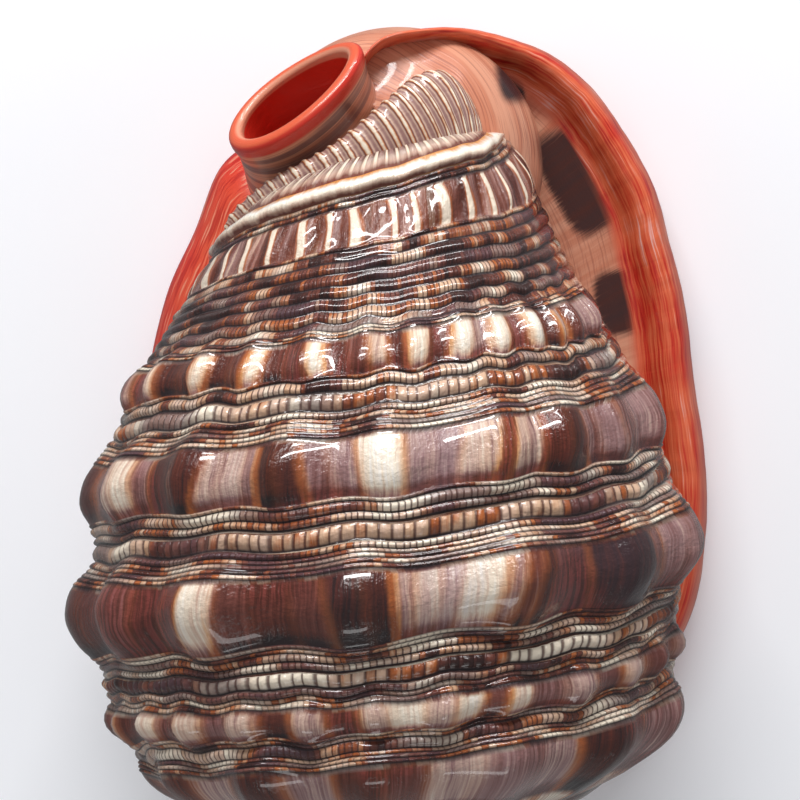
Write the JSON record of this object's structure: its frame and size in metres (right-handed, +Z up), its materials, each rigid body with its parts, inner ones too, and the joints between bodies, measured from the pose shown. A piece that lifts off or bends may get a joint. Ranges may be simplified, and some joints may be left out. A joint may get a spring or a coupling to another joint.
{
  "type": "helmet conch shell",
  "caption": "Large knobbed red helmet shell, a conch, with a flared orange outer lip, a ribbed fasciole and a red canal, lying aperture down",
  "frame": {"origin": "middle of the whole shell's box in plan, on the surface that it rests on", "axes": "+Y to the siphonal canal, -Y to the spire, +X to the flared outer lip, +Z up to the knobbed back"},
  "size_m": [0.1276, 0.1662, 0.1054],
  "materials": {
    "shell": "glossy natural shell, brown, cream and orange red"
  },
  "bodies": {
    "root": {"shell": "shell"}
  },
  "joints": []
}
